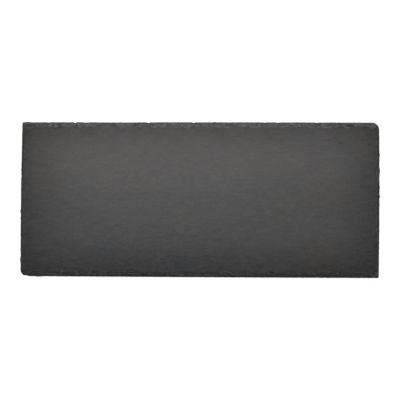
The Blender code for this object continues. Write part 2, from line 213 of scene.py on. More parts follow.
# Small breaks in the top face and the bevel, in mm: middle, half length, half width, turn in
# degrees, depth, and the tone there, from -1, painted shade in a dark crack, to 1 where the stone
# is fresh and pale. The shallow dark ones by the back edge are painted shade over bright facets.
FLAKES = (
    (-143.2, 62.0, 4.8, 1.6, 0, 0.03, -0.8),
    (-138.6, 61.7, 1.2, 0.9, 20, 0.12, -0.5),
    (-128.9, 62.0, 0.8, 0.7, 0, 0.10, -0.4),
    (-124.5, 63.5, 1.7, 0.9, -15, 0.12, 0.4),
    (-121.7, 61.6, 0.9, 0.5, 10, 0.10, 1.0),
    (-118.5, 62.0, 2.2, 1.4, -10, 0.14, 0.2),
    (-118.6, 64.8, 1.2, 0.4, 0, 0.10, -0.6),
    (-113.8, 64.1, 1.7, 0.5, 5, 0.08, 0.1),
    (-101.7, 63.3, 1.4, 0.8, -10, 0.10, 0.5),
    (-92.8, 62.8, 3.1, 0.6, 3, 0.10, 0.4),
    (-85.2, 63.6, 3.5, 0.5, -3, 0.10, 0.5),
    (-77.6, 62.0, 1.9, 0.6, 12, 0.10, 0.5),
    (-72.7, 62.5, 2.9, 0.5, -25, 0.18, -0.8),
    (-63.4, 62.6, 5.4, 0.6, 2, 0.10, 0.4),
    (-54.2, 62.5, 0.8, 0.6, 0, 0.12, -0.7),
    (-52.9, 59.8, 0.8, 0.5, 20, 0.08, -0.5),
    (-31.1, 63.0, 1.3, 0.6, 10, 0.10, 0.5),
    (-26.9, 62.2, 1.2, 0.5, -15, 0.12, -0.6),
    (-22.7, 63.4, 1.8, 0.5, 15, 0.10, 0.5),
    (-16.8, 62.6, 1.5, 0.5, -20, 0.12, -0.6),
    (-12.6, 61.8, 1.2, 0.5, 8, 0.10, 0.2),
    (-6.7, 63.4, 1.6, 0.5, -8, 0.12, -0.1),
    (-2.5, 62.6, 1.3, 0.6, 18, 0.10, 0.5),
    (12.3, 65.2, 1.2, 0.5, 0, 0.10, -0.7),
    (23.1, 63.8, 2.1, 0.5, 0, 0.10, 0.5),
    (27.6, 61.8, 0.8, 0.7, 0, 0.14, -0.7),
    (42.0, 61.9, 1.8, 0.4, -40, 0.10, 0.5),
    (45.8, 60.7, 2.2, 0.4, 0, 0.10, 0.5),
    (49.6, 61.7, 1.7, 0.4, 35, 0.10, 0.5),
    (51.4, 62.5, 0.8, 0.8, 0, 0.12, -0.7),
    (63.3, 62.5, 1.0, 0.6, 0, 0.10, 0.9),
    (77.7, 63.6, 3.1, 0.5, -18, 0.10, 0.7),
    (96.2, 62.3, 2.0, 0.4, -32, 0.14, -0.5),
    (98.3, 62.6, 3.0, 0.4, -32, 0.16, -0.7),
    (108.5, 62.6, 3.2, 1.2, 0, 0.03, -0.3),
    (115.6, 62.6, 3.0, 1.4, 0, 0.03, -0.4),
    (125.3, 62.1, 4.2, 1.8, 0, 0.03, -0.9),
    (131.5, 64.2, 2.4, 1.0, 0, 0.03, -0.5),
    (145.9, 61.1, 1.4, 0.5, -35, 0.10, 0.7),
    (-145.3, -60.8, 2.6, 0.5, -15, 0.10, 0.5),
    (-115.4, -59.6, 0.9, 0.7, 0, 0.08, 0.5),
    (-103.6, -58.8, 0.9, 0.7, 0, 0.10, -0.6),
    (-102.5, -61.8, 0.9, 0.6, 0, 0.10, 0.6),
    (-87.0, -61.8, 1.0, 0.6, 0, 0.10, 0.6),
    (-68.9, -60.5, 1.2, 0.6, 10, 0.10, -0.6),
    (-58.5, -60.5, 2.0, 0.5, -20, 0.14, -0.6),
    (-46.6, -62.6, 3.0, 0.8, -4, 0.12, -0.6),
    (-26.9, -62.5, 0.9, 0.9, 0, 0.12, 1.0),
    (-15.5, -62.6, 2.9, 0.6, 0, 0.10, 0.6),
    (-11.4, -61.9, 2.0, 0.7, -25, 0.14, -0.7),
    (-11.0, -63.3, 0.8, 0.4, 0, 0.08, 0.6),
    (-2.6, -62.0, 1.8, 0.5, -8, 0.12, -0.5),
    (14.7, -62.6, 3.8, 0.5, 0, 0.10, 0.4),
    (23.1, -60.0, 4.5, 0.5, -6, 0.12, -0.5),
    (60.1, -60.5, 3.8, 0.5, 4, 0.12, -0.5),
    (96.2, -62.0, 2.3, 0.6, -6, 0.10, 0.7),
    (147.6, -61.7, 1.2, 0.6, 60, 0.12, 0.9),
    (148.3, 42.0, 1.3, 0.5, 0, 0.10, 0.6),
    (148.7, 21.0, 8.5, 0.5, 90, 0.08, 0.4),
    (144.7, -44.4, 3.3, 0.4, 8, 0.08, 0.2),
    (146.6, -46.0, 1.8, 0.4, -4, 0.12, -0.5),
    (-143.5, 54.4, 0.9, 0.5, -20, 0.06, -0.5),
    (-139.7, 47.9, 0.9, 0.6, 10, 0.04, -0.25),
    (-134.7, 41.2, 0.8, 0.5, 0, 0.03, -0.15),
    (-145.7, 45.4, 0.9, 0.6, 0, 0.06, -0.4),
    (-96.6, 14.3, 0.7, 0.6, 0, 0.05, 0.3),
    (-63.0, -13.4, 0.7, 0.6, 0, 0.05, 0.3),
    (-47.0, 39.5, 0.7, 0.6, 0, 0.08, -0.6),
    (-2.5, 32.8, 0.7, 0.6, 0, 0.05, 0.3),
    (7.6, 41.2, 0.7, 0.6, 0, 0.05, 0.2),
    (117.6, 48.7, 0.8, 0.7, 0, 0.05, -0.3),
)
TONE_GAIN = 2  # how quickly the tone sets in from the lip of a break

# More of them at random along the edges: ranges of what the list above gives
FLAKE_ROOM = 4.5 * MM  # the length of edge that has one
FLAKE_REACH = 0.85  # how far in it lies, at most, as a share of a chip's greatest reach
FLAKE_SIZES = ((0.5 * MM, 1.9 * MM), (0.3 * MM, 0.7 * MM))
FLAKE_TURN = 35  # degrees from the line of the edge, either way
FLAKE_DEPTHS = (0.04 * MM, 0.16 * MM)
# Tones below 0 are painted shade in cracks. The front's run darker: painted shade of the edge
# turned from the light.
FLAKE_TONES_AND_SHADE = {
    "front": (-0.7, 0.05),
    "right": (-0.6, 0.4),
    "back": (-0.5, 0.4),
    "left": (-0.6, 0.4),
}

# How closely the surface is drawn
COLUMN_STEP = 0.6 * MM
FACE_RINGS = 5
FACE_MARGIN = 0.06 * MM  # the last ring of the face lies this near to the first break
PROFILE_STEPS = 50
UNDER_RINGS = 5
GRID_STEP = 2.1 * MM
GRID_STARTS = (0.75, 0.25)  # where even and odd rows of the grid start, over its step
GRID_MARGIN = 0.6 * GRID_STEP
SCAR_POINTS = 240
FLAKE_POINTS = 12
REACH_STEP = 0.05 * MM
CLOSEST = 1e-9  # points nearer than this are one point
INSIDE_ONLY = 1  # the triangulation's setting for keeping only what lies inside the border
SHARP_ANGLE = math.radians(32)

# The seed of all that is random, and the third coordinate at which each noise is read
SEED = 7
WEAR_NOISE = SEED
SWELL_NOISE = SEED
RIPPLE_NOISE = SEED + 1
LEDGE_NOISE = SEED
WARP_NOISES = (SEED + 20, SEED + 21)
FACE_NOISE = SEED + 30
SCAR_NOISE = SEED + 35
FINE_WEAR_NOISE = SEED + 50
RISER_NOISE = SEED + 60
ROUGH_NOISE = SEED + 70
RUN_NOISE = SEED + 80
ARRIS_NOISE = SEED + 81
UNDER_NOISE = SEED + 82


def smooth(share):
    """0 to 1 with level ends."""
    share = np.clip(share, 0, 1)
    return share * share * (3 - 2 * share)


def ripple_noise(x, y, length, z):
    """Smooth noise over the board, between about -1 and 1, whose waves are about this long."""
    return np.array([noise.noise((a / length, b / length, z)) for a, b in zip(x, y)])


def between(points, limits, length, z):
    """Smooth noise over the board, between two limits."""
    share = smooth(0.5 + ripple_noise(*points.T, length, z))
    return limits[0] + (limits[1] - limits[0]) * share


class Side:
    """One edge of the board. u runs along it from its first corner, and depth goes in from it."""

    def __init__(self, number):
        sign, drift, self.first_radius = CORNERS[number]
        next_sign, next_drift, self.last_radius = CORNERS[(number + 1) % len(CORNERS)]
        half = np.array((LENGTH, WIDTH)) / 2
        self.start = half * sign + drift
        run = half * next_sign + next_drift - self.start
        self.length = float(np.hypot(*run))
        self.along = run / self.length
        self.inward = np.array((-self.along[1], self.along[0]))
        self.number = number
        self.name, self.bow, self.dressing = EDGES[number]
        self.ridges = [place * MM for place in RIDGES[self.name]]
        self.marks = MARKS[self.name]
        self.first = corner_middle(self.first_radius)
        self.last = self.length - corner_middle(self.last_radius)

    def inset(self, u):
        """How far inside the straight line between the corners the outline runs."""
        share = u / self.length
        rounding = corner_arc(u, self.first_radius)
        rounding = rounding + corner_arc(self.length - u, self.last_radius)
        wave = ripple_noise(u, np.full_like(u, self.number), WEAR_LENGTH, WEAR_NOISE)
        marks = sum(
            out * smooth(1 - 2 * np.abs(u - place) / length)
            for place, length, out in self.marks
        )
        return rounding - 4 * self.bow * share * (1 - share) + WEAR * wave - marks

    def outline(self, u):
        """Points of the outline at u."""
        return self.start + np.outer(u, self.along) + np.outer(self.inset(u), self.inward)

    def inner(self, u):
        """The inner ends of the sections that start at u, which lean towards a corner near it."""
        from_first = lean(u - self.first, self.first)
        from_last = self.length - lean(self.last - u, self.length - self.last)
        u = np.where(u < self.length / 2, from_first, from_last)
        return self.start + np.outer(u, self.along) + BAND * self.inward


def corner_middle(radius):
    """How far along an edge the middle of its rounded corner lies."""
    return radius * (1 - math.cos(math.pi / 4))


def corner_arc(u, radius):
    """How far a rounded corner takes the outline in, at u from the corner."""
    from_end = np.clip(radius - u, 0, radius)
    return radius - np.sqrt(radius**2 - from_end**2)


def lean(u, middle):
    """Where along the edge a section ends that starts u past the middle of a corner."""
    return u + middle + (BAND - middle) * (1 - smooth(u / CORNER_SPREAD))


def ridge_places(side, length, rng):
    """Where the ridges of one side stand, its two corners among them."""
    known = (side.first, *side.ridges, side.last)
    places = [side.first]
    for low, high in zip(known, known[1:]):
        count = max(1, round((high - low) / length))
        step = (high - low) / count
        shifts = [rng.uniform(-RIDGE_SHIFT, RIDGE_SHIFT) for _ in range(count - 1)]
        places.extend(low + step * (number + shift) for number, shift in enumerate(shifts, 1))
        places.append(high)
    return places


def make_chips(sides, rng):
    """The bowls cut into the bevel: middle, directions along and in, half sizes and depth."""
    chips = []
    for side in sides:
        length, reaches, depths = LONG_CHIPS if side.dressing == "long" else SHORT_CHIPS
        places = ridge_places(side, length, rng)
        for low, high in zip(places, places[1:]):
            reach = rng.uniform(*reaches)
            depth = rng.uniform(*depths)
            half = rng.uniform(*CHIP_OVERLAP) * (high - low) / 2
            middle = (low + high) / 2 + rng.uniform(-CHIP_SHIFT, CHIP_SHIFT) * (high - low)
            centre = side.outline(np.array([middle]))[0] - side.inward * CHIP_CENTRE * reach
            chips.append((centre, side.along, side.inward, half, (1 + CHIP_CENTRE) * reach, depth))
    return chips


def chip_depth(points, chips):
    """How deep the deepest chip is at each point. Its outline is ragged."""
    far, length = WARP
    waves = [ripple_noise(*points.T, length, z) for z in WARP_NOISES]
    points = points + far * np.column_stack(waves)
    deepest = np.zeros(len(points))
    for centre, along, inward, half, radius, depth in chips:
        offset = points - centre
        bowl = 1 - (offset @ along / half) ** 2 - (offset @ inward / radius) ** 2
        deepest = np.maximum(deepest, depth * bowl)
    return deepest


def make_flakes(sides, rng):
    """The small breaks, as arrays: middle, direction, half length, half width, depth and tone."""
    flakes = []
    for x, y, half_length, half_width, turn, depth, tone in FLAKES:
        way = (math.cos(math.radians(turn)), math.sin(math.radians(turn)))
        sizes = (MM * half_length, MM * half_width, MM * depth)
        flakes.append(((MM * x, MM * y), way, *sizes, tone))
    for side in sides:
        reaches = (LONG_CHIPS if side.dressing == "long" else SHORT_CHIPS)[1]
        for _ in range(round(side.length / FLAKE_ROOM)):
            u = rng.uniform(side.first, side.last)
            inset = rng.uniform(0, FLAKE_REACH * reaches[1])
            turn = math.radians(rng.uniform(-FLAKE_TURN, FLAKE_TURN))
            middle = side.outline(np.array([u]))[0] + inset * side.inward
            way = math.cos(turn) * side.along + math.sin(turn) * side.inward
            ranges = (*FLAKE_SIZES, FLAKE_DEPTHS, FLAKE_TONES_AND_SHADE[side.name])
            flakes.append((middle, way, *[rng.uniform(*limits) for limits in ranges]))
    return [np.array(values) for values in zip(*flakes)]


def flaked(points, flakes):
    """How deep the small breaks are at each point, and their tone, with painted shade in cracks."""
    middle, way, half_length, half_width, depth, tone = flakes
    x, y = np.moveaxis(points[:, None] - middle, 2, 0)
    along = (x * way[:, 0] + y * way[:, 1]) / half_length
    across = (y * way[:, 0] - x * way[:, 1]) / half_width
    bowl = (1 - along**2 - across**2).clip(0)
    return bowl @ depth, (smooth(TONE_GAIN * bowl) @ tone).clip(-1, 1)


def flake_points(middle, way, half_length, half_width):
    """Points over one break of the face: its lip, half way in, and its middle."""
    across = np.array((-way[1], way[0]))
    angle = np.linspace(0, 2 * math.pi, FLAKE_POINTS, endpoint=False)
    lip = np.outer(half_length * np.cos(angle), way) + np.outer(half_width * np.sin(angle), across)
    return middle + np.vstack((lip, lip[::2] / 2, [(0, 0)]))


def facets(points, z):
    """Small planes that lean at random, as struck stone breaks."""
    size, slope = FACETS
    heights = []
    for x, y in points / size:
        middle = noise.voronoi((x, y, z))[1][0]
        way = noise.cell_vector(middle * FACET_SPREAD)
        heights.append((x - middle.x) * (2 * way.x - 1) + (y - middle.y) * (2 * way.y - 1))
    return slope * size * np.array(heights)


def riven(points, z):
    """The relief of a split face: how far it lies below the highest that it comes."""
    x, y = points[:, 0] / RIVEN_STRETCH, points[:, 1]
    return sum(
        deep * (1 + ripple_noise(x, y, length, z + number))
        for number, (deep, length) in enumerate(RIVEN)
    )


def face_height(points):
    """The height of the top face, which swells a little and is nowhere above the thickness."""
    x, y = points[:, 0], points[:, 1]
    swell = ripple_noise(x, y, SWELL_LENGTH, SWELL_NOISE)
    ripple = ripple_noise(x, y, RIPPLE_LENGTH, RIPPLE_NOISE)
    return THICKNESS - SWELL * (1 + swell) - RIPPLE * (1 + ripple) - riven(points, FACE_NOISE)


def level_heights(rng):
    """The heights of the planes that the stone splits along, from the top down."""
    heights = [TOP_LEVEL]
    while heights[-1] > LOWEST_LEVEL + LAYER_RANGE[0]:
        heights.append(max(heights[-1] - rng.uniform(*LAYER_RANGE), LOWEST_LEVEL))
    return np.array(heights)


def bites(points, height):
    """How far the end of a layer is bitten back, over its room. Points stand between the bites."""
    found = np.zeros(len(points))
    for depth, length in BITES:
        z = height / BITE_KINSHIP + length / MM
        found += 2 * depth * np.abs(ripple_noise(*points.T, length, z))
    return found


class Fringe:
    """The loft round the board, drawn closely: its rings from the face down and under."""

    def __init__(self, sides, chips, flakes):
        outer = []
        inner = []
        for side in sides:
            count = round((side.last - side.first) / COLUMN_STEP)
            u = np.linspace(side.first, side.last, count, endpoint=False)
            outer.append(side.outline(u))
            inner.append(side.inner(u))
        outer = np.vstack(outer)
        self.inward = (np.vstack(inner) - outer) / BAND
        deep, length = FINE_WEAR
        wear = between(outer, (0, deep), length, FINE_WEAR_NOISE)
        self.outer = outer + self.inward * wear[:, None]
        self.chips = chips
        self.flakes = flakes

    def place(self, depth):
        """The point of each section that lies this deep inside the outline."""
        return self.outer + self.inward * np.reshape(depth, (-1, 1))

    def drop(self, points, depth):
        """How far the bevel lies below the face."""
        chamfer = CHAMFER_DEPTH * (1 - depth / CHAMFER_REACH)
        drop = np.maximum(chip_depth(points, self.chips), chamfer).clip(0)
        strength = smooth(drop / ROUGH_START)
        for number, (deep, length) in enumerate(ROUGH):
            drop = drop + strength * deep * ripple_noise(*points.T, length, ROUGH_NOISE + number)
        return drop + strength * flaked(points, self.flakes)[0]

    def reach(self):
        """How deep inside the outline the bevel of each section meets the face."""
        reach = np.full(len(self.outer), CHAMFER_REACH)
        for depth in np.arange(CHAMFER_REACH, BAND, REACH_STEP):
            reach[chip_depth(self.place(depth), self.chips) > 0] = depth
        return reach

    def ring(self, depth, height):
        """The vertices at this depth and height."""
        return np.column_stack((self.place(depth), height))

    def rings(self):
        """The rings, and each one's place: 0 to 1 over the face, and 2 on broken stone."""
        outer = self.outer
        run = SIDE_RUN * between(outer, RUN_RANGE, SECTION_LENGTH, RUN_NOISE)
        arris = ARRIS_HEIGHT * between(outer, ARRIS_RANGE, SECTION_LENGTH, ARRIS_NOISE)
        chipped = between(outer, (0, 1), SECTION_LENGTH, UNDER_NOISE) ** 2
        under = UNDER_REACH + UNDER_CHIP_REACH * chipped
        reach = self.reach()
        rings = []
        for share in np.linspace(1, 0, FACE_RINGS):
            depth = reach + FACE_MARGIN + share * (BAND - reach - FACE_MARGIN)
            points = self.place(depth)
            rings.append(self.ring(depth, face_height(points) - flaked(points, self.flakes)[0]))
        face = len(rings)
        rings.append(self.ring(reach, face_height(self.place(reach))))
        rings.extend(self.layer_rings(reach, run, arris))
        for share in np.linspace(0, 1, UNDER_RINGS):
            rings.append(self.ring(share * under, arris * (1 - share) ** 2))
        return rings, [*np.linspace(0, 1, face), *[2] * (len(rings) - face)]

    def layer_rings(self, reach, run, arris):
        """The rings from the first break down to the arris: each layer's foot, tread and lip."""
        levels = level_heights(random.Random(SEED))
        ends = self.layer_ends(levels, reach, run, arris)
        lip, lip_height = reach, face_height(self.place(reach))
        for number, level in enumerate(levels):
            end = ends[number]
            room = np.clip(lip - end, *BITE_ROOM)
            end = end + room * bites(self.place(end), level)
            fall = lip_height - level
            slope = between(self.place(lip), RISER_SLOPE, RISER_LENGTH, RISER_NOISE + number)
            most = RISER_SHARE * (lip - ends[number]).clip(TREAD_LEAST)
            foot = lip - np.minimum(slope * fall, most)
            end = np.minimum(end, foot - TREAD_LEAST).clip(TREAD_LEAST * (len(levels) - number))
            foot = np.maximum(foot, end + TREAD_LEAST / 2)
            tread = (foot + end) / 2
            high, length = LEVEL_WAVER
            for depth in (foot, tread, end):
                points = self.place(depth)
                height = level + high * ripple_noise(*points.T, length, level / MM)
                height = height + facets(points, level / MM) - flaked(points, self.flakes)[0]
                height = np.minimum(height, face_height(points))
                yield self.ring(depth, height)
            lip, lip_height = end, height

    def layer_ends(self, levels, reach, run, arris):
        """How deep inside the outline the smooth section lies at each level."""
        depths = []
        heights = []
        for share in np.linspace(0, 1, PROFILE_STEPS):
            depth = reach + share * (run - reach)
            points = self.place(depth)
            depths.append(depth)
            heights.append(face_height(points) - self.drop(points, depth))
        top = heights[-1]
        for run_left, fall_left in self.side_shares():
            depths.append(run_left * run)
            heights.append(arris + fall_left * (top - arris))
        depths = np.array(depths)[::-1]
        heights = np.minimum.accumulate(heights)[::-1]
        found = [np.interp(levels, height, depth) for height, depth in zip(heights.T, depths.T)]
        return np.array(found).T

    def side_shares(self):
        """The corners of the side's section: the shares of its run and its fall that are left."""
        waves = [
            ripple_noise(*self.outer.T, LEDGE_LENGTH, LEDGE_NOISE + number)
            for number in range(2 * len(LEDGES))
        ]
        widths = [
            LEDGE_LEAST + greatest * smooth(0.5 + wave)
            for (_, greatest), wave in zip(LEDGES, waves)
        ]
        steep_run = 1 - sum(widths)
        run_left, last = 1, 1
        for (height, _), width, wave in zip(LEDGES, widths, waves[len(LEDGES):]):
            height = height + LEDGE_WAVER * wave
            run_left = run_left - steep_run * (last - height)
            yield run_left, height
            run_left = run_left - width
            yield run_left, height - LEDGE_DROP
            last = height
        yield 0 * self.outer[:, 0], 0


def inside(points, loop):
    """Whether each point lies inside a closed loop."""
    x, y = points[:, 0], points[:, 1]
    found = np.zeros(len(points), bool)
    for a, b in zip(loop, np.roll(loop, -1, axis=0)):
        crosses = (a[1] > y) != (b[1] > y)
        rise = np.where(b[1] == a[1], 1, b[1] - a[1])
        found ^= crosses & (x < a[0] + (y - a[1]) * (b[0] - a[0]) / rise)
    return found


def grid_inside(loop, others):
    """Points of a staggered grid inside a loop, clear of its line and of the other loops' lines."""
    low, high = loop.min(axis=0), loop.max(axis=0)
    points = []
    for number, y in enumerate(np.arange(low[1] + GRID_STEP / 2, high[1], GRID_STEP)):
        start = low[0] + GRID_STEP * GRID_STARTS[number % 2]
        points.extend((x, y) for x in np.arange(start, high[0], GRID_STEP))
    points = np.array(points)
    points = points[inside(points, loop)]
    lines = np.vstack([loop, *others])
    tree = kdtree.KDTree(len(lines))
    for number, (x, y) in enumerate(lines):
        tree.insert((x, y, 0), number)
    tree.balance()
    clear = [tree.find((x, y, 0))[2] > GRID_MARGIN for x, y in points]
    return points[clear]


def scar_shape(rng):
    """Directions round a scar, and how far it reaches in each, over its half length or width."""
    angle = np.linspace(0, 2 * math.pi, SCAR_POINTS, endpoint=False)
    wave = 1 + sum(h * np.sin(n * angle + rng.uniform(0, 2 * math.pi)) for n, h in SCAR_LOBES)
    return angle, wave + sum(h * np.sin(n * angle + n) for n, h in SCAR_RAGGED)


def scar_loop(scar, angle, wave, inset):
    """The line round one scar that lies this far inside its lip."""
    x, y, half_length, half_width, turn, _ = scar
    across = (half_length * wave - inset) * np.cos(angle)
    up = (half_width * wave - inset) * np.sin(angle)
    cosine, sine = math.cos(math.radians(turn)), math.sin(math.radians(turn))
    return np.column_stack((x + cosine * across - sine * up, y + sine * across + cosine * up))


class Skin:
    """The vertices and triangles of the stone, with each vertex's place, and its tone with painted
    shade in cracks.
    """

    def __init__(self):
        self.points = np.empty((0, 3))
        self.edge = np.empty(0)
        self.fresh_and_crack_shade = np.empty(0)
        self.triangles = []

    def add(self, points, edge, fresh_and_crack_shade):
        """Adds vertices and gives their numbers."""
        start = len(self.points)
        self.points = np.vstack((self.points, points))
        self.edge = np.append(self.edge, np.broadcast_to(edge, len(points)))
        self.fresh_and_crack_shade = np.append(self.fresh_and_crack_shade, np.broadcast_to(fresh_and_crack_shade, len(points)))
        return np.arange(start, start + len(points))

    def loft(self, rings, edges, flakes):
        """Joins neighbouring rings and gives the numbers of the first and the last."""
        fresh_and_crack_shade = [flaked(ring[:, :2], flakes)[1] for ring in rings]
        rows = [self.add(*each) for each in zip(rings, edges, fresh_and_crack_shade)]
        for upper, lower in zip(rows, rows[1:]):
            upper_next, lower_next = np.roll(upper, -1), np.roll(lower, -1)
            self.triangles.append(np.column_stack((upper, lower, lower_next)))
            self.triangles.append(np.column_stack((upper, lower_next, upper_next)))
        return rows[0], rows[-1]

    def fill(self, row, loops, extra, upwards, fresh_and_crack_shade=0):
        """Fills a closed row with triangles over other points. loops are closed lines of edges."""
        border = self.points[row]
        start = len(border)
        edges = []
        for loop in loops:
            ids = list(range(start, start + len(loop)))
            edges.extend(zip(ids, ids[1:] + ids[:1]))
            start += len(loop)
        more = np.vstack([*loops, extra])
        flat = [tuple(map(float, point[:2])) for point in np.vstack((border, more))]
        result = delaunay_2d_cdt(flat, edges, [list(range(len(border)))], INSIDE_ONLY, CLOSEST)
        _, _, triangles, _, _, origins = result
        triangles = np.array([corners for corners, found in zip(triangles, origins) if found])
        numbers = np.append(row, self.add(more, 0, fresh_and_crack_shade))
        triangles = numbers[triangles]
        self.triangles.append(triangles if upwards else triangles[:, ::-1])

    def mesh(self, name):
        """A mesh of it all, with what the material reads at each vertex."""
        data = bpy.data.meshes.new(name)
        triangles = np.vstack(self.triangles)
        data.from_pydata(self.points.tolist(), [], triangles.tolist())
        data.shade_smooth()
        data.set_sharp_from_angle(angle=SHARP_ANGLE)
        # Besides fresh stone and wear, these carry painted light: shade in cracks and a highlight
        # on ridges.
        attributes = {"edge": self.edge, "fresh_and_crack_shade": self.fresh_and_crack_shade, "wear_and_highlight": self.convexity(data)}
        for attribute, values in attributes.items():
            data.attributes.new(attribute, "FLOAT", "POINT").data.foreach_set("value", values)
        return data

    def convexity(self, data):
        """How far each vertex stands out from its neighbours, as the slope down to them."""
        ends = np.empty(2 * len(data.edges), int)
        data.edges.foreach_get("vertices", ends)
        ends = ends.reshape(-1, 2)
        here, there = np.vstack((ends, ends[:, ::-1])).T
        normals = np.empty(3 * len(data.vertices))
        data.vertices.foreach_get("normal", normals)
        step = self.points[there] - self.points[here]
        slope = -(step * normals.reshape(-1, 3)[here]).sum(axis=1) / np.linalg.norm(step, axis=1)
        count = np.bincount(here, minlength=len(self.points))
        return np.bincount(here, slope, minlength=len(self.points)) / count


def top_face(skin, row, flakes):
    """The top face: a split face, drawn more closely where it has small breaks."""
    border = skin.points[row][:, :2]
    marks = [flake_points(*flake) for flake in zip(*flakes[:4])]
    marks = [points for points in marks if inside(points, border).all()]
    extra = np.vstack((grid_inside(border, marks), *marks))
    deep, fresh_and_crack_shade = flaked(extra, flakes)
    extra = np.column_stack((extra, face_height(extra) - deep))
    skin.fill(row, [], extra, upwards=True, fresh_and_crack_shade=fresh_and_crack_shade)


def underside(skin, row):
    """The underside: a split face that the board rests on, with the scars of its flakes."""
    rng = random.Random(SEED)
    border = skin.points[row][:, :2]
    loops = []
    for scar in SCARS:
        angle, wave = scar_shape(rng)
        for inset, depth in SCAR_RIM:
            loop = scar_loop(scar, angle, wave, inset * SCAR_STEP)
            loops.append(np.column_stack((loop, np.full(len(loop), scar[-1] * depth))))
    extra = grid_inside(border, [loop[:, :2] for loop in loops])
    height = np.zeros(len(extra))
    last_loops = loops[len(SCAR_RIM) - 1::len(SCAR_RIM)]
    for scar, floor in zip(SCARS, last_loops):
        within = inside(extra, floor[:, :2])
        height[within] = scar[-1] + riven(extra[within], SCAR_NOISE)
    skin.fill(row, loops, np.column_stack((extra, height)), upwards=False)


def make_slab():
    """The whole stone as one object, inside the solid's box."""
    sides = [Side(number) for number in range(len(EDGES))]
    chips = make_chips(sides, random.Random(SEED))
    flakes = make_flakes(sides, random.Random(SEED))
    skin = Skin()
    first, last = skin.loft(*Fringe(sides, chips, flakes).rings(), flakes)
    top_face(skin, first, flakes)
    underside(skin, last)
    low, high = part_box("slab")
    skin.points = np.clip(skin.points, low, high)
    slab = bpy.data.objects.new("slate_slab", skin.mesh("slate_slab"))
    bpy.context.scene.collection.objects.link(slab)
    return slab


# The stone's colours. A tint or a shade multiplies one of them.
FACE_COLOUR = (0.0250, 0.0248, 0.0243)
BROKEN_COLOUR = (0.030, 0.0297, 0.029)
RIDGE_WEAR_AND_HIGHLIGHT_COLOUR = (0.052, 0.0514, 0.0502)  # of ridges and arrises, paler with wear and with a painted highlight
FRESH_COLOUR = (0.088, 0.0872, 0.0851)
SPECK_COLOUR = (0.04, 0.0396, 0.039)
COOL_TINT = (0.93, 0.985, 1.09)
WARM_TINT = (1.07, 1.01, 0.92)
ROSY_TINT = (1.02, 0.975, 1.04)
RIM_SHADE = 0.95  # of the face next to the broken edge
LAYER_SHADE = 0.8  # of the darker layers of the broken edge
CRACK_PAINTED_SHADE = 0.45  # painted shade of the darkest crack

# Its textures: the length of a wave, how many times longer that is along each axis, the noise's
# detail and its roughness
BLOTCHES = (45 * MM, (1.5, 1, 1), 3.0, 0.55)
TINTS = (30 * MM, (1, 1.3, 1), 2.0, 0.55)
STREAKS = (1.9 * MM, (3, 1, 1), 4.0, 0.55)
GRAIN = (0.9 * MM, (1, 1, 1), 4.0, 0.70)
SPECKS = (1.6 * MM, (1, 1, 1), 1.0, 0.55)
LAYERS = (0.30 * MM, (26, 26, 1), 3.0, 0.55)

# The values of each between which it sets in. For a ridge's wear and painted highlight they are
# the slope down from it.
BLOTCH_SPAN = (0.4, 0.6)
TINT_SPAN = (0.42, 0.62)
STREAK_SPAN = (0.3, 0.7)
GRAIN_SPAN = (0.25, 0.75)
SPECK_SPAN = (0.74, 0.80)
LAYER_SPAN = (0.35, 0.65)
RIDGE_WEAR_AND_HIGHLIGHT_SPAN = (0.10, 0.45)

# How much lighter and darker they make the face, and how much of that is left on broken stone
STREAK_CONTRAST = 0.28
GRAIN_CONTRAST = 0.55
BROKEN_SHARE = 0.4

# The shader's roughness, and its bump
FACE_ROUGHNESS = 0.22
BROKEN_ROUGHNESS = 0.55
CRACK_ROUGHNESS = 0.95
GRAIN_ROUGHNESS = 0.06  # how much rougher and smoother the grain is
GRAIN_BUMP = 0.8
STREAK_BUMP = 0.35
LAYER_BUMP = 0.8
BUMP_STRENGTH = 0.7
BUMP_HEIGHT = 0.10 * MM


class Nodes:
    """Short forms for building the node tree of a material."""

    def __init__(self, name):
        self.material = bpy.data.materials.new(name)
        self.material.use_nodes = True
        self.tree = self.material.node_tree
        self.shader = self.tree.nodes["Principled BSDF"]

    def link(self, source, target):
        """Links an output to an input, or gives the input a plain value."""
        if hasattr(source, "is_output"):
            self.tree.links.new(source, target)
        else:
            target.default_value = source

    def add(self, kind, **settings):
        node = self.tree.nodes.new(kind)
        for name, value in settings.items():
            setattr(node, name, value)
        return node

    def math(self, operation, a, b):
        node = self.add("ShaderNodeMath", operation=operation)
        self.link(a, node.inputs[0])
        self.link(b, node.inputs[1])
        return node.outputs[0]

    def span(self, value, low, high, to_low=0.0, to_high=1.0):
        """Maps values from low to high onto another range, and holds them there outside it."""
        node = self.add("ShaderNodeMapRange", clamp=True)
        for socket, given in zip(node.inputs, (value, low, high, to_low, to_high)):
            self.link(given, socket)
        return node.outputs[0]

    def noise(self, wave, stretch, detail, roughness):
        """Noise with waves of this length in metres, longer by stretch along each axis."""
        place = self.add("ShaderNodeTexCoord").outputs["Object"]
        mapping = self.add("ShaderNodeMapping")
        self.link(place, mapping.inputs["Vector"])
        mapping.inputs["Scale"].default_value = [1 / (wave * s) for s in stretch]
        node = self.add("ShaderNodeTexNoise")
        self.link(mapping.outputs[0], node.inputs["Vector"])
        node.inputs["Scale"].default_value = 1
        node.inputs["Detail"].default_value = detail
        node.inputs["Roughness"].default_value = roughness
        return node.outputs[0]

    def mix(self, factor, a, b, blend="MIX"):
        node = self.add("ShaderNodeMix", data_type="RGBA", blend_type=blend)
        self.link(factor, node.inputs[0])
        for socket, given in zip(node.inputs[6:8], (a, b)):
            if isinstance(given, tuple):
                given = (*given, 1)
            self.link(given, socket)
        return node.outputs[2]

    def attribute(self, name):
        return self.add("ShaderNodeAttribute", attribute_name=name).outputs["Fac"]


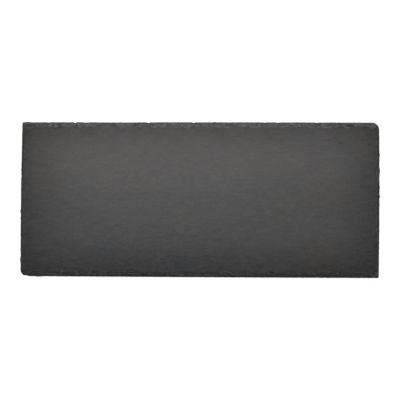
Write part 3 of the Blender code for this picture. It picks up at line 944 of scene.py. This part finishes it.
def slate_material():
    """Dark split slate: even, faintly satin faces, and rougher broken edges."""
    n = Nodes("slate_stone")
    edge = n.attribute("edge")  # 0 to 1 over the face, and 2 on broken stone
    rim = n.span(edge, 0, 1)
    broken = n.span(edge, 1, 2)
    fresh_and_crack_shade = n.attribute("fresh_and_crack_shade")  # -1, painted shade in a dark crack, to 1 where the stone is fresh
    streaks = n.noise(*STREAKS)
    grain = n.noise(*GRAIN)
    layers = n.noise(*LAYERS)

    stone = n.mix(broken, face_colour(n, rim), broken_colour(n, layers))
    stone = n.mix(n.span(fresh_and_crack_shade, 0, 1), stone, FRESH_COLOUR)
    # Painted shade: darkens the cracks and the dark marks.
    stone = n.mix(1.0, stone, n.span(fresh_and_crack_shade, -1, 0, CRACK_PAINTED_SHADE, 1), "MULTIPLY")
    share = n.span(broken, 0, 1, 1, BROKEN_SHARE)
    streak_shade = n.span(streaks, *STREAK_SPAN, -STREAK_CONTRAST, STREAK_CONTRAST)
    grain_shade = n.span(grain, *GRAIN_SPAN, -GRAIN_CONTRAST, GRAIN_CONTRAST)
    shade = n.math("MULTIPLY", n.math("ADD", streak_shade, grain_shade), share)
    stone = n.mix(1.0, stone, n.math("ADD", shade, 1), "MULTIPLY")
    stone = n.mix(n.span(n.noise(*SPECKS), *SPECK_SPAN), stone, SPECK_COLOUR)
    n.link(stone, n.shader.inputs["Base Color"])

    struck = n.math("MAXIMUM", broken, fresh_and_crack_shade)
    rough = n.span(struck, 0, 1, FACE_ROUGHNESS, BROKEN_ROUGHNESS)
    rough = n.span(fresh_and_crack_shade, -1, 0, CRACK_ROUGHNESS, rough)
    rough = n.math("ADD", rough, n.span(grain, *GRAIN_SPAN, -GRAIN_ROUGHNESS, GRAIN_ROUGHNESS))
    n.link(rough, n.shader.inputs["Roughness"])

    height = n.math(
        "ADD",
        n.math("MULTIPLY", grain, GRAIN_BUMP),
        n.math("MULTIPLY", streaks, STREAK_BUMP),
    )
    height = n.math("MULTIPLY", height, share)
    layer_height = n.math("MULTIPLY", n.math("MULTIPLY", layers, broken), LAYER_BUMP)
    bump = n.add("ShaderNodeBump")
    bump.inputs["Strength"].default_value = BUMP_STRENGTH
    bump.inputs["Distance"].default_value = BUMP_HEIGHT
    n.link(n.math("ADD", height, layer_height), bump.inputs["Height"])
    n.link(bump.outputs[0], n.shader.inputs["Normal"])
    return n.material


def face_colour(n, rim):
    """The colour of the split face, which drifts between tints and darkens towards its rim."""
    tint = n.mix(n.span(n.noise(*BLOTCHES), *BLOTCH_SPAN), COOL_TINT, WARM_TINT)
    tint = n.mix(n.span(n.noise(*TINTS), *TINT_SPAN), tint, ROSY_TINT)
    stone = n.mix(1.0, FACE_COLOUR, tint, "MULTIPLY")
    return n.mix(1.0, stone, n.span(rim, 0, 1, 1, RIM_SHADE), "MULTIPLY")


def broken_colour(n, layers):
    """The colour of the broken edge: layers, and ridges paler with wear and a painted highlight."""
    dark = tuple(LAYER_SHADE * part for part in BROKEN_COLOUR)
    stone = n.mix(n.span(layers, *LAYER_SPAN), BROKEN_COLOUR, dark)
    # Ridges and arrises that stand out are paler: wear, and a painted highlight.
    return n.mix(n.span(n.attribute("wear_and_highlight"), *RIDGE_WEAR_AND_HIGHLIGHT_SPAN), stone, RIDGE_WEAR_AND_HIGHLIGHT_COLOUR)


# The studio
FLOOR_SIZE = 16.0
FLOOR_COLOUR = (0.3, 0.3, 0.3)
FLOOR_GLOW = 0.9
VIEW_WIDTH = 335.5 * MM  # the width of the picture, at the height of the board's lower arris
VIEW_OFFSET = -0.13 * MM  # how far the camera stands towards the back of the board
LENS = 150.0  # in millimetres, as Blender takes it
SENSOR = 36.0  # the same
LIGHT_POWER = 4  # watts of an area light for each square metre, at a radiance of 1

# How bright its walls are at each height on a unit sphere round the board
SKY = ((-0.08, 0.05), (-0.02, 1.0), (0.18, 1.0), (0.26, 0.08))

# Its lights: a softbox over the board in rows from front to back, with a little more on the left,
# and a larger softbox behind it. For each: place, size, turn about X in radians, radiance, and tint
LIGHTS = {
    "front_row": ((0 * MM, -35 * MM, 300 * MM), (336 * MM, 30 * MM), 0, 1.50, (0.99, 1, 1.01)),
    "second_row": ((0 * MM, -5 * MM, 300 * MM), (336 * MM, 30 * MM), 0, 0.71, (1, 1, 1)),
    "third_row": ((0 * MM, 25 * MM, 300 * MM), (336 * MM, 30 * MM), 0, 1.38, (1.02, 1, 0.98)),
    "back_row": ((0 * MM, 55 * MM, 300 * MM), (336 * MM, 30 * MM), 0, 2.12, (1.04, 1, 0.95)),
    "left_fill": ((-56 * MM, 25 * MM, 295 * MM), (221 * MM, 89 * MM), 0, 0.24, (1, 1, 1)),
    "back_softbox": ((0 * MM, 1088 * MM, 791 * MM), (1400 * MM, 700 * MM), -0.942, 7.0, (1, 1, 1)),
}


def make_floor():
    """A plain pale floor, so bright that it is white in the picture."""
    mesh = bpy.data.meshes.new("floor")
    half = FLOOR_SIZE / 2
    corners = [(-half, -half, 0), (half, -half, 0), (half, half, 0), (-half, half, 0)]
    mesh.from_pydata(corners, [], [(0, 1, 2, 3)])
    material = bpy.data.materials.new("floor")
    material.use_nodes = True
    shader = material.node_tree.nodes["Principled BSDF"]
    shader.inputs["Base Color"].default_value = (*FLOOR_COLOUR, 1)
    shader.inputs["Roughness"].default_value = 1
    shader.inputs["Specular IOR Level"].default_value = 0
    shader.inputs["Emission Color"].default_value = (1, 1, 1, 1)
    shader.inputs["Emission Strength"].default_value = FLOOR_GLOW
    mesh.materials.append(material)
    floor = bpy.data.objects.new("floor", mesh)
    bpy.context.scene.collection.objects.link(floor)
    floor.visible_glossy = False  # the sides of the stone don't mirror it
    floor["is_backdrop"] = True


def make_light(name, place, size, turn, radiance, tint):
    """A softbox that shines down, turned about X."""
    light = bpy.data.lights.new(name, "AREA")
    light.shape = "RECTANGLE"
    light.size, light.size_y = size
    light.color = tint
    light.energy = LIGHT_POWER * light.size * light.size_y * radiance
    lamp = bpy.data.objects.new(name, light)
    lamp.location = place
    lamp.rotation_euler = (turn, 0, 0)
    lamp.visible_camera = False
    bpy.context.scene.collection.objects.link(lamp)


def make_sky():
    """White walls low down all round, under a dim ceiling."""
    world = bpy.data.worlds.new("studio")
    world.use_nodes = True
    tree = world.node_tree
    background = tree.nodes["Background"]
    place = tree.nodes.new("ShaderNodeTexCoord")
    height = tree.nodes.new("ShaderNodeSeparateXYZ")
    tree.links.new(place.outputs["Generated"], height.inputs[0])
    share = tree.nodes.new("ShaderNodeMapRange")
    share.inputs["From Min"].default_value = -1
    tree.links.new(height.outputs["Z"], share.inputs["Value"])
    ramp = tree.nodes.new("ShaderNodeValToRGB")
    stops = ramp.color_ramp.elements
    while len(stops) < len(SKY):
        stops.new(0)
    for stop, (level, strength) in zip(stops, SKY):
        stop.position = (1 + level) / 2
        stop.color = (strength, strength, strength, 1)
    tree.links.new(share.outputs[0], ramp.inputs[0])
    tree.links.new(ramp.outputs[0], background.inputs["Color"])
    bpy.context.scene.world = world


def make_camera():
    """Straight above the board, with its back edge at the top of the picture."""
    data = bpy.data.cameras.new("camera")
    data.lens = LENS
    data.sensor_width = SENSOR
    camera = bpy.data.objects.new("camera", data)
    camera.location = (0, VIEW_OFFSET, VIEW_WIDTH * LENS / SENSOR + ARRIS_HEIGHT)
    bpy.context.scene.collection.objects.link(camera)
    bpy.context.scene.camera = camera


slab = make_slab()
slab.data.materials.append(slate_material())
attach(slab, "root")
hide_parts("slab")
make_floor()
for name, settings in LIGHTS.items():
    make_light(name, *settings)
make_sky()
make_camera()
bpy.context.scene.view_settings.view_transform = "Standard"

boxes = {"cad": CAD_BOX, "visual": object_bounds()}
{name: [list(corner) for corner in box] for name, box in boxes.items()}
